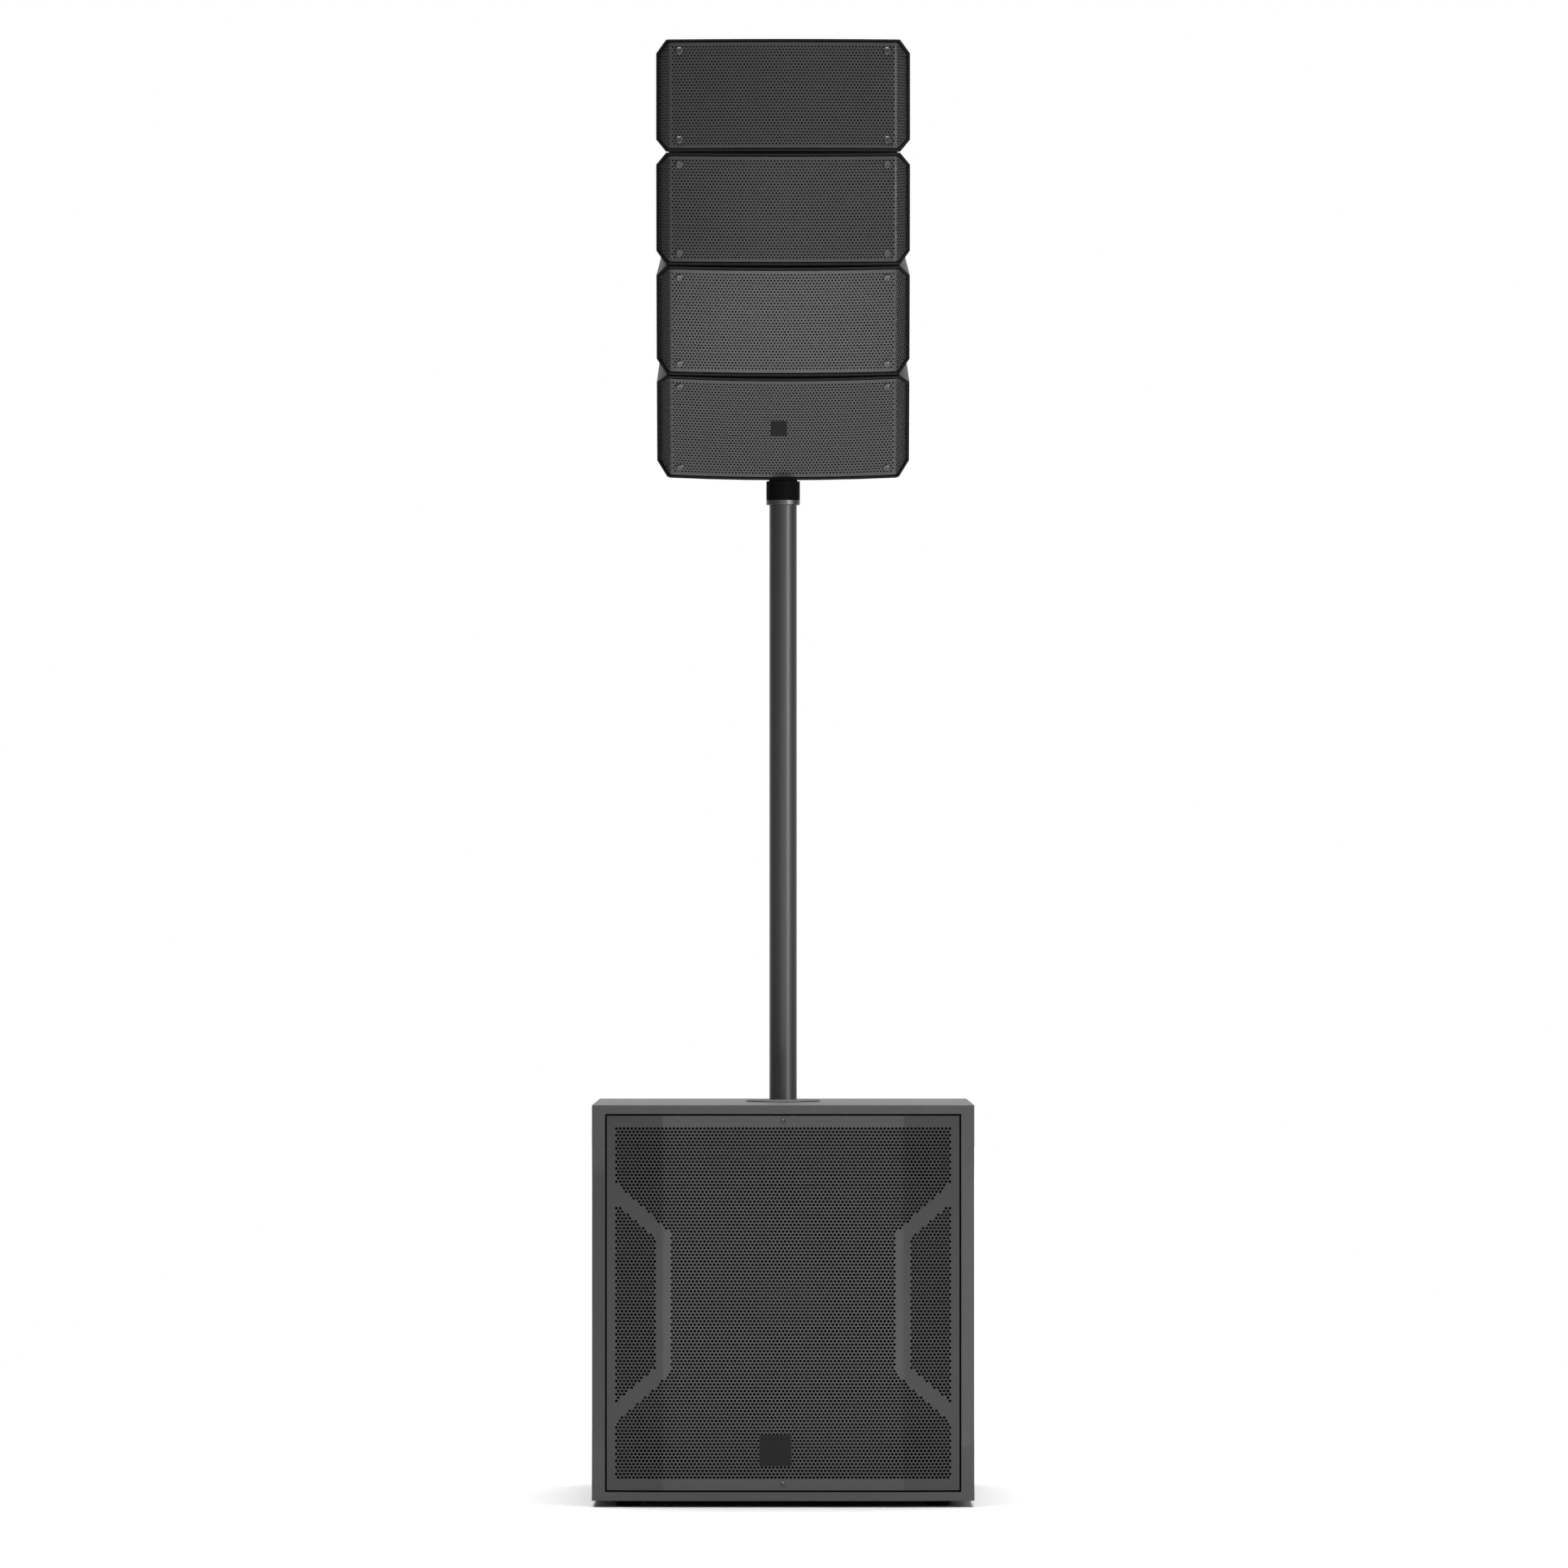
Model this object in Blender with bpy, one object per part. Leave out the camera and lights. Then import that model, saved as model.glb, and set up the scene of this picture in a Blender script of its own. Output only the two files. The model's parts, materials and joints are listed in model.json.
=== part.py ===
"""PA speaker: a four-module column array on a pole over a powered subwoofer.

Sizes are in millimetres and become metres where a mesh is made. The front faces -Y and the floor is z = 0.
"""

import math

import bmesh
import bpy
from mathutils import Matrix, Vector

MM = 0.001

# Subwoofer
SUB_WIDTH = 478.0
SUB_HEIGHT = 494.0
SUB_DEPTH = 600.0
FOOT_HEIGHT = 8.0
SUB_WALL = 15.0
FOLD_HALF = 150.0
FACET_SETBACK = 6.0
RIM_SIDE = 16.5
RIM_TOP = 11.0
TRAY_DEPTH = 42.0
BAFFLE_THICKNESS = 15.0
WOOFER_HOLE_R = 176.0
GRILLE_THICKNESS = 1.5
GRILLE_GAP = 2.2
SCALLOP_HALF = 180.0
SCALLOP_FLAT_HALF = 155.0
SCALLOP_DROP = 7.0
CHAMBER_STEP = 20.0
PORT_HALF_W = 186.0
PORT_HALF_H = 200.0
PORT_LEG = 66.0
WINDOW_IN = (120.0, 36.0)
WINDOW_OUT = (168.0, 52.0)
WINDOW_RUN = (26.0, 90.0)
WINDOWS = 6

# Pole and adaptor
POLE_R = 17.5
POLE_BORE_R = 15.0
COLLAR_R = 21.5
COLLAR_BOTTOM = 1264.4
COLLAR_TOP = 1270.6
CUP_TOP = 1294.5
CUP_ROOF = 5.6
SOCKET_FLANGE_R = 48.0
SOCKET_R = 24.0
SOCKET_FLOOR = 50.0

# Array modules, in each module's own frame: y backwards from the side folds, z from mid height
MODULE_HALF_WIDTH = 161.0
MODULE_HALF_HEIGHT = 71.0
MODULE_DEPTH = 214.0
MODULE_FOLD_HALF = 144.5
MODULE_BOW = 8.0
WING_SETBACK = 18.0
SIDE_DRAFT = 8.0
TAPER_START = 7.0
TAPER_DEG = 5.5
CHAMFER_X = 12.3
CHAMFER_Z = 14.5
MODULE_RIM = 2.8
POCKET_FLOOR = 19.5
MODULE_BAFFLE = 10.0
MODULE_BAFFLE_HALF = 141.0
DRIVER_X = 88.0
DRIVER_R = 52.0
DRIVER_POCKET = 110.0
HORN_MOUTH = 26.0
HORN_THROAT = 11.0
HORN_HALF_HEIGHT = 52.0
ARC_STEPS = 6
MODULE_SOCKET_X = 95.0

# Hinges and splay bars between the modules
HINGE_Y = 10.0
HINGE_Z = MODULE_HALF_HEIGHT + 0.25
ROD_R = 1.6
ROD_BORE_R = 1.85
KNUCKLE_R = 3.5
POCKET_R = 4.3
FORK = ((84.0, 97.0), (111.0, 124.0))
TONGUE = (98.0, 110.0)
ROD_HALF = 146.0
CROSSBAR_HALF = 124.0
CHANNEL_HALF = 35.0
CHANNEL_FLOOR = MODULE_DEPTH - 30.0
EAR_IN = 4.0
EAR_OUT = 8.0
EAR_Y = MODULE_DEPTH - 10.0
BAR_PIN_Z = 28.0
KNOB_Z = -24.0
PIN_R = 3.0
BORE_R = 3.3
BAR_HALF = 3.0
BAR_R = 7.8
SLOT_R = 3.9
DIPS = 5
DIP_R = 3.6
DIP_RING_R = 13.0
TILTS = {1: 0.0, 2: 9.0, 3: 18.0, 4: 27.0}
YOKE_TILT = 28.0
MAX_SPLAY = 10.0
HINGE_4 = (6.8, 1303.5)
CROSSBAR_R = 4.5
CROSSBAR_BACK = 19.0
ARM_R = 6.0
ARM_END_R = 9.0

FIT = 0.3

# Places on the subwoofer
SUB_BOTTOM = FOOT_HEIGHT
SUB_TOP = FOOT_HEIGHT + SUB_HEIGHT
SUB_MID = (SUB_BOTTOM + SUB_TOP) / 2
HALF_W = SUB_WIDTH / 2
FRONT = -SUB_DEPTH / 2
REAR = SUB_DEPTH / 2
OPEN_HALF = HALF_W - RIM_SIDE
OPEN_LOW = SUB_BOTTOM + RIM_TOP
OPEN_HIGH = SUB_TOP - RIM_TOP
TRAY_FLOOR = FRONT + TRAY_DEPTH
AMP_HALF_W = 170.0
AMP_HALF_H = 130.0
AMP_LOW = SUB_MID - AMP_HALF_H
AMP_HIGH = SUB_MID + AMP_HALF_H
AMP_FLOOR = REAR - 60.0
AMP_FACE = REAR - 24.0

# Side handles
HANDLE_DEPTH = 60.0
HANDLE_Y = 0.0
HANDLE_Z = SUB_MID + 60.0
HANDLE_HALF_Y = 95.0
HANDLE_HALF_Z = 52.0
HANDLE_SHELL = 3.0
GRIP_R = 8.0

# Amplifier panel, its sockets and its controls
INLET_X = 40.0
INLET_Z = SUB_MID - 85.0
INLET_R = 15.0
SWITCH_X = 120.0
SWITCH_Z = SUB_MID - 85.0
ROCKER_HALF = 11.0
OUT_X = 40.0
OUT_Z = SUB_MID - 15.0
SOCKET_HOLE_R = 12.0
IN_X = (40.0, 120.0)
IN_Z = SUB_MID + 80.0
KNOB_X = (95.0, 145.0)
KNOB_ROW_Z = SUB_MID + 5.0
SOCKET_RIM = 16.0
SOCKET_MOUTH = 9.5
INLET_RIM = 19.0
INLET_MOUTH = 12.0
SOCKET_BARREL = 22.0
SOCKET_MOUTH_DEPTH = 14.0
PANEL_HOLE_DEPTH = 26.0
HOLE_EASE = 0.6
FINS = 9
FIN_START = -150.0
FIN_PITCH = 15.0
FIN_THICKNESS = 5.0
FIN_HEIGHT = 20.0


def material(name, colour, roughness, metallic=0.0):
    made = bpy.data.materials.new(name)
    made.use_nodes = True
    shader = made.node_tree.nodes["Principled BSDF"]
    shader.inputs["Base Color"].default_value = (*colour, 1.0)
    shader.inputs["Roughness"].default_value = roughness
    shader.inputs["Metallic"].default_value = metallic
    return made


def finish_mesh(name, bm):
    bmesh.ops.remove_doubles(bm, verts=bm.verts, dist=1e-7)
    bmesh.ops.recalc_face_normals(bm, faces=bm.faces)
    mesh = bpy.data.meshes.new(name)
    bm.to_mesh(mesh)
    bm.free()
    made = bpy.data.objects.new(name, mesh)
    bpy.context.scene.collection.objects.link(made)
    return made


AXES = {
    "x": lambda a, b, d: (d, a, b),
    "y": lambda a, b, d: (a, d, b),
    "z": lambda a, b, d: (a, b, d),
}


def prism(name, outline, low, high, axis="z"):
    """A straight solid: an outline in the two axes left over, from low to high along the third."""
    place = AXES[axis]
    bm = bmesh.new()
    ends = []
    for level in (low, high):
        ends.append([bm.verts.new(Vector(place(a, b, level)) * MM) for a, b in outline])
    bm.faces.new(ends[0])
    bm.faces.new(ends[1])
    count = len(outline)
    for i in range(count):
        j = (i + 1) % count
        bm.faces.new((ends[0][i], ends[0][j], ends[1][j], ends[1][i]))
    return finish_mesh(name, bm)


def box(name, x, y, z):
    return prism(name, [(x[0], y[0]), (x[1], y[0]), (x[1], y[1]), (x[0], y[1])], z[0], z[1])


def circle(a, b, radius, steps=10):
    part = 2.0 * math.pi / steps
    return [(a + radius * math.cos(i * part), b + radius * math.sin(i * part)) for i in range(steps)]


def capsule(start, end, radius, steps=5):
    """The outline round a straight run: two half circles."""
    heading = math.atan2(end[1] - start[1], end[0] - start[0])
    points = []
    for centre, begin in ((end, heading - math.pi / 2), (start, heading + math.pi / 2)):
        for i in range(steps + 1):
            angle = begin + math.pi * i / steps
            points.append((centre[0] + radius * math.cos(angle), centre[1] + radius * math.sin(angle)))
    return points


def turned(name, profile, axis="z", centre=(0.0, 0.0), steps=24):
    """A round solid: a closed profile of (radius, level) spun about an axis at a centre."""
    place = AXES[axis]
    bm = bmesh.new()
    rings = []
    for radius, level in profile:
        if radius == 0.0:
            rings.append([bm.verts.new(Vector(place(centre[0], centre[1], level)) * MM)] * steps)
        else:
            spun = circle(centre[0], centre[1], radius, steps)
            rings.append([bm.verts.new(Vector(place(a, b, level)) * MM) for a, b in spun])
    for near, far in zip(rings, rings[1:] + rings[:1]):
        for i in range(steps):
            j = (i + 1) % steps
            corners = []
            for vert in (near[i], near[j], far[j], far[i]):
                if vert not in corners:
                    corners.append(vert)
            if len(corners) > 2:
                bm.faces.new(corners)
    return finish_mesh(name, bm)


def combine(target, tool, operation):
    step = target.modifiers.new("combine", "BOOLEAN")
    step.operation = operation
    step.solver = "EXACT"
    step.object = tool
    bpy.context.view_layer.objects.active = target
    bpy.ops.object.modifier_apply(modifier=step.name)
    bpy.data.objects.remove(tool)


def cut(target, tool):
    combine(target, tool, "DIFFERENCE")


def add(target, tool):
    combine(target, tool, "UNION")


def trim(target, point, normal):
    """Slices away what lies on the normal's side of a plane and closes the cut."""
    bm = bmesh.new()
    bm.from_mesh(target.data)
    everything = bm.verts[:] + bm.edges[:] + bm.faces[:]
    bmesh.ops.bisect_plane(
        bm, geom=everything, dist=1e-8, plane_co=Vector(point) * MM, plane_no=normal, clear_outer=True
    )
    bmesh.ops.holes_fill(bm, edges=[e for e in bm.edges if e.is_boundary])
    bmesh.ops.recalc_face_normals(bm, faces=bm.faces)
    bm.to_mesh(target.data)
    bm.free()


def give(target, look):
    target.data.materials.clear()
    target.data.materials.append(look)
    for face in target.data.polygons:
        face.material_index = 0


for old in list(bpy.data.objects):
    bpy.data.objects.remove(old)

PAINT = material("charcoal paint", (0.06, 0.06, 0.065), 0.6)
STEEL_BLACK = material("black steel", (0.05, 0.05, 0.055), 0.5, 0.4)
BLACK = material("black plastic", (0.02, 0.02, 0.022), 0.5)
RUBBER = material("rubber", (0.015, 0.015, 0.015), 0.85)
CONE = material("paper cone", (0.03, 0.03, 0.032), 0.8)
ALLOY = material("bare alloy", (0.55, 0.55, 0.56), 0.35, 1.0)
BOARD = material("black board", (0.025, 0.025, 0.027), 0.8)


def front_plan(half, back, inset):
    """The faceted front in plan: a flat middle, two facets, straight sides to the back."""
    setback = FACET_SETBACK * (half - FOLD_HALF) / (HALF_W - FOLD_HALF)
    return [
        (-half, FRONT + inset + setback),
        (-FOLD_HALF, FRONT + inset),
        (FOLD_HALF, FRONT + inset),
        (half, FRONT + inset + setback),
        (half, back),
        (-half, back),
    ]


def make_sub_cabinet():
    cabinet = prism("sub_cabinet", front_plan(HALF_W, REAR, 0.0), SUB_BOTTOM, SUB_TOP)
    cut(cabinet, box("tray", (-OPEN_HALF, OPEN_HALF), (FRONT - 20, TRAY_FLOOR), (OPEN_LOW, OPEN_HIGH)))
    inner_half = HALF_W - SUB_WALL
    inner = ((TRAY_FLOOR - 5, AMP_FLOOR - SUB_WALL), (SUB_BOTTOM + SUB_WALL, SUB_TOP - SUB_WALL))
    step = CHAMBER_STEP
    chamber_z = (inner[1][0] + step, inner[1][1] - step)
    cut(cabinet, box("chamber", (-inner_half + step, inner_half - step), inner[0], chamber_z))
    cut(cabinet, box("amp pocket", (-AMP_HALF_W, AMP_HALF_W), (AMP_FLOOR, REAR + 10), (AMP_LOW, AMP_HIGH)))
    cut(cabinet, prism("socket hole", circle(0, 0, SOCKET_R + 1.0, 32), SUB_TOP - 60, SUB_TOP + 10))
    for side in (-1, 1):
        outer = side * (HALF_W + 5)
        inner_edge = side * (HALF_W - RIM_SIDE + 1.0)
        face = FRONT + FACET_SETBACK * (HALF_W - RIM_SIDE - FOLD_HALF) / (HALF_W - FOLD_HALF)
        bevel = prism("bevel", [(inner_edge, face - 30), (inner_edge, face + 0.5),
                                (outer, face + SCALLOP_DROP + 3.0), (outer, face - 30)],
                      SUB_MID - SCALLOP_HALF, SUB_MID + SCALLOP_HALF)
        run = SCALLOP_HALF - SCALLOP_FLAT_HALF
        for up in (-1, 1):
            trim(bevel, (0, face, SUB_MID + up * SCALLOP_HALF), (0, SCALLOP_DROP / run * 3.0, up))
        cut(cabinet, bevel)
        pocket = box("handle pocket", sorted((side * (HALF_W - HANDLE_DEPTH), side * (HALF_W + 10))),
                     (HANDLE_Y - HANDLE_HALF_Y, HANDLE_Y + HANDLE_HALF_Y),
                     (HANDLE_Z - HANDLE_HALF_Z, HANDLE_Z + HANDLE_HALF_Z))
        cut(cabinet, pocket)
    give(cabinet, PAINT)


def make_handles():
    """A moulded cup in each side wall, with a grip bar across its mouth."""
    for side, name in ((-1, "handle_left"), (1, "handle_right")):
        flush = side * HALF_W
        deep = side * (HALF_W - HANDLE_DEPTH + FIT)
        low_y = HANDLE_Y - HANDLE_HALF_Y + FIT
        high_y = HANDLE_Y + HANDLE_HALF_Y - FIT
        low_z = HANDLE_Z - HANDLE_HALF_Z + FIT
        high_z = HANDLE_Z + HANDLE_HALF_Z - FIT
        handle = box(name, sorted((deep, flush)), (low_y, high_y), (low_z, high_z))
        shell = HANDLE_SHELL
        mouth = flush + side * 5
        floor = deep + side * shell
        outline = [(low_z + shell, mouth), (low_z + 3 * shell, floor)]
        outline += [(high_z - 3 * shell, floor), (high_z - shell, mouth)]
        scoop = prism("scoop", outline, low_y + shell, high_y - shell, "y")
        for vert in scoop.data.vertices:
            vert.co.x, vert.co.z = vert.co.z, vert.co.x
        scoop.data.flip_normals()
        cut(handle, scoop)
        grip_x = flush - side * (GRIP_R + 0.5)
        outline = capsule((grip_x, HANDLE_Z + GRIP_R), (grip_x, HANDLE_Z - GRIP_R), GRIP_R)
        grip = prism("grip", outline, low_y + 1, high_y - 1, "y")
        add(handle, grip)
        give(handle, BLACK)


def make_sub_baffle():
    front = TRAY_FLOOR - BAFFLE_THICKNESS
    baffle = box("sub_baffle", (-OPEN_HALF + FIT, OPEN_HALF - FIT), (front, TRAY_FLOOR - FIT),
                 (OPEN_LOW + FIT, OPEN_HIGH - FIT))
    cut(baffle, prism("cone hole", circle(0, SUB_MID, WOOFER_HOLE_R, 40), front - 5, TRAY_FLOOR + 5, "y"))
    for across in (-1, 1):
        for up in (-1, 1):
            x = across * PORT_HALF_W
            z = SUB_MID + up * PORT_HALF_H
            port = [(x, z), (x - across * PORT_LEG, z), (x, z - up * PORT_LEG)]
            cut(baffle, prism("port", port, front - 5, TRAY_FLOOR + 5, "y"))
    give(baffle, BOARD)


def make_sub_grille():
    """A folded steel tray whose edge flanges stand on the baffle."""
    half = OPEN_HALF - GRILLE_GAP
    low = OPEN_LOW + GRILLE_GAP
    high = OPEN_HIGH - GRILLE_GAP
    back = TRAY_FLOOR - BAFFLE_THICKNESS - FIT
    sheet = GRILLE_THICKNESS
    grille = prism("sub_grille", front_plan(half, back, 1.5), low, high)
    cut(grille, prism("tray", front_plan(half - sheet, back + 10, 1.5 + sheet), low + sheet, high - sheet))
    give(grille, STEEL_BLACK)


def make_woofer():
    seat = TRAY_FLOOR - BAFFLE_THICKNESS
    basket = [(192, seat - FIT), (192, seat - 8), (172, seat - 8), (172, seat + 4), (100, seat + 105)]
    magnet = [(46, seat + 105), (46, seat + 165), (95, seat + 165), (95, seat + 112)]
    outside = [(112, seat + 108), (174.5, seat + 20), (174.5, seat - FIT)]
    frame = turned("woofer_frame", basket + magnet + outside, "y", (0, SUB_MID), 24)
    near, near_half = WINDOW_IN
    far, far_half = WINDOW_OUT
    for i in range(WINDOWS):
        angle = 2 * math.pi / WINDOWS * (i + 0.5)
        outline = [(near, -near_half), (far, -far_half), (far, far_half), (near, near_half)]
        window = prism("window", outline, seat + WINDOW_RUN[0], seat + WINDOW_RUN[1], "y")
        window.matrix_world = Matrix.Translation((0, 0, SUB_MID * MM)) @ Matrix.Rotation(angle, 4, "Y")
        bpy.context.view_layer.update()
        cut(frame, window)
    give(frame, STEEL_BLACK)
    face = [(0, seat + 48), (35, seat + 52), (58, seat + 64), (152, seat + 2), (155, seat + 2)]
    behind = [(155, seat + 4), (60, seat + 70)]
    coil = [(44.5, seat + 72), (44.5, seat + 130), (42, seat + 130), (42, seat + 66), (0, seat + 52)]
    cone = turned("woofer_cone", face + behind + coil, "y", (0, SUB_MID), 24)
    give(cone, CONE)
    roll = [(153, seat), (156, seat), (158, seat - 6), (163.5, seat - 8.5)]
    roll += [(169, seat - 6), (171.5, seat - 1)]
    under = [(171.5, seat + 1), (168, seat - 4), (163.5, seat - 6.3)]
    under += [(159.5, seat - 4), (157.5, seat + 1.7), (153, seat + 1.7)]
    surround = turned("woofer_surround", roll + under, "y", (0, SUB_MID), 24)
    give(surround, RUBBER)


def make_amplifier():
    face = AMP_FACE
    panel = box("amp_panel", (-AMP_HALF_W + FIT, AMP_HALF_W - FIT), (AMP_FLOOR + FIT, face),
                (AMP_LOW + FIT, AMP_HIGH - FIT))
    fin_z = (AMP_LOW + 20, AMP_HIGH - 20)
    for i in range(FINS):
        x = FIN_START + i * FIN_PITCH
        add(panel, box("fin", (x, x + FIN_THICKNESS), (face - 5, face + FIN_HEIGHT), fin_z))
    holes = [(INLET_X, INLET_Z, INLET_R), (OUT_X, OUT_Z, SOCKET_HOLE_R)]
    holes += [(x, IN_Z, SOCKET_HOLE_R) for x in IN_X]
    holes += [(x, KNOB_ROW_Z, 5.0) for x in KNOB_X]
    for x, z, radius in holes:
        outline = circle(x, z, radius + HOLE_EASE, 20)
        cut(panel, prism("hole", outline, face - PANEL_HOLE_DEPTH, face + 5, "y"))
    cut(panel, box("switch hole", (SWITCH_X - 10, SWITCH_X + 10), (face - 18, face + 5),
                   (SWITCH_Z - 14, SWITCH_Z + 14)))
    give(panel, STEEL_BLACK)


def make_socket(name, x, z, radius, rim, hole, face):
    """A round chassis socket: a rim on the panel, a barrel in it and a blind mouth."""
    back = face - SOCKET_BARREL
    floor = face - SOCKET_MOUTH_DEPTH
    barrel = [(0, back), (radius, back), (radius, face + FIT), (rim, face + FIT), (rim, face + 4)]
    mouth = [(hole, face + 4), (hole, floor), (0, floor)]
    socket = turned(name, barrel + mouth, "y", (x, z), 20)
    give(socket, BLACK)
    return socket


def make_controls():
    face = AMP_FACE
    make_socket("mains_inlet", INLET_X, INLET_Z, INLET_R, INLET_RIM, INLET_MOUTH, face)
    signals = [("speaker_out", OUT_X, OUT_Z)]
    signals += [("line_in_left", IN_X[0], IN_Z), ("line_in_right", IN_X[1], IN_Z)]
    for name, x, z in signals:
        make_socket(name, x, z, SOCKET_HOLE_R, SOCKET_RIM, SOCKET_MOUTH, face)
    for x, name in zip(KNOB_X, ("level_knob_sub", "level_knob_array")):
        spindle = [(0, face - 15), (4.5, face - 15), (4.5, face + 0.8)]
        cap = [(9, face + 0.8), (8, face + 15), (0, face + 15)]
        knob = turned(name, spindle + cap, "y", (x, KNOB_ROW_Z), 20)
        pointer_z = (KNOB_ROW_Z + 2, KNOB_ROW_Z + 10)
        cut(knob, box("pointer", (x - 0.7, x + 0.7), (face + 13.5, face + 16), pointer_z))
        give(knob, BLACK)
    low = SWITCH_Z - ROCKER_HALF
    high = SWITCH_Z + ROCKER_HALF
    outline = [(face - 6, low), (face + 4.2, low), (face + 1.2, SWITCH_Z)]
    outline += [(face + 1.6, high), (face - 6, high), (face - 11, SWITCH_Z)]
    rocker = prism("power_switch", outline, SWITCH_X - 8, SWITCH_X + 8, "x")
    add(rocker, prism("pivot", circle(face - 3, SWITCH_Z, 1.5), SWITCH_X - 9.8, SWITCH_X + 9.8, "x"))
    give(rocker, BLACK)


def make_feet():
    for x, across in ((-1, "left"), (1, "right")):
        for y, along in ((-1, "front"), (1, "rear")):
            top = FOOT_HEIGHT - FIT
            place = (x * (HALF_W - 45), y * (SUB_DEPTH / 2 - 50))
            foot = turned(f"foot_{along}_{across}", [(0, 0), (14, 0), (18, top), (0, top)], "z", place, 20)
            give(foot, RUBBER)


def make_pole():
    bore = POLE_R + FIT
    floor = SUB_TOP - SOCKET_FLOOR
    outside = [(SOCKET_R, floor - 9), (SOCKET_R, SUB_TOP + FIT), (SOCKET_FLANGE_R, SUB_TOP + FIT)]
    flange = [(SOCKET_FLANGE_R - 2, SUB_TOP + 3), (bore, SUB_TOP + 3)]
    inside = [(bore, floor), (0, floor), (0, floor - 9)]
    socket = turned("pole_socket", outside + flange + inside, "z", (0, 0), 32)
    give(socket, BLACK)
    foot = floor + FIT
    tube = turned("pole_tube", [
        (POLE_BORE_R, foot), (POLE_R, foot), (POLE_R, COLLAR_BOTTOM - FIT), (POLE_R, COLLAR_TOP),
        (POLE_R, CUP_TOP - 6), (POLE_BORE_R, CUP_TOP - 6),
    ], "z", (0, 0), 32)
    give(tube, STEEL_BLACK)
    collar = turned("pole_collar", [
        (POLE_R + FIT, COLLAR_BOTTOM), (COLLAR_R, COLLAR_BOTTOM), (COLLAR_R, COLLAR_TOP - FIT),
        (POLE_R + FIT, COLLAR_TOP - FIT),
    ], "z", (0, 0), 32)
    give(collar, ALLOY)


def turn(point, degrees):
    """A (y, z) offset tilted nose-down."""
    angle = math.radians(degrees)
    return (point[0] * math.cos(angle) - point[1] * math.sin(angle),
            point[0] * math.sin(angle) + point[1] * math.cos(angle))


def hinge_places():
    """The lower hinge of each module, from the bottom one upwards."""
    places = {4: HINGE_4}
    for number in (4, 3, 2):
        lean = turn((0.0, 2 * HINGE_Z), TILTS[number])
        places[number - 1] = (places[number][0] + lean[0], places[number][1] + lean[1])
    return places


HINGES = hinge_places()


def axis_empty(name, hinge, tilt):
    """An empty on a hinge axis, turned as the body it carries."""
    empty = bpy.data.objects.new(name, None)
    bpy.context.scene.collection.objects.link(empty)
    empty.matrix_world = (Matrix.Translation((0, hinge[0] * MM, hinge[1] * MM))
                          @ Matrix.Rotation(math.radians(tilt), 4, "X"))
    return empty


def hang(made, empty, origin):
    """Carries a piece drawn in a module's frame on the empty at one of that frame's points."""
    made.data.transform(Matrix.Translation((0, -origin[0] * MM, -origin[1] * MM)))
    made.parent = empty


LOWER = (HINGE_Y, -HINGE_Z)
UPPER = (HINGE_Y, HINGE_Z)


def module_plan(half, fold, inset, back, side_draft):
    """The bowed front, the two side wings and the drafted sides, in plan."""
    points = [(-half + side_draft, back), (-half, WING_SETBACK + inset)]
    for i in range(ARC_STEPS + 1):
        x = -fold + 2 * fold * i / ARC_STEPS
        points.append((x, inset - MODULE_BOW * (1 - (x / MODULE_FOLD_HALF) ** 2)))
    points += [(half, WING_SETBACK + inset), (half - side_draft, back)]
    return points


def trim_corners(target, half, height, taper):
    """The four corner chamfers, which follow the taper of the top and bottom."""
    for across in (-1, 1):
        for up in (-1, 1):
            lift = math.tan(math.radians(taper)) * CHAMFER_X
            corner = (across * half, 0, up * (height - CHAMFER_Z))
            trim(target, corner, (across * CHAMFER_Z, lift, up * CHAMFER_X))


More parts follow.
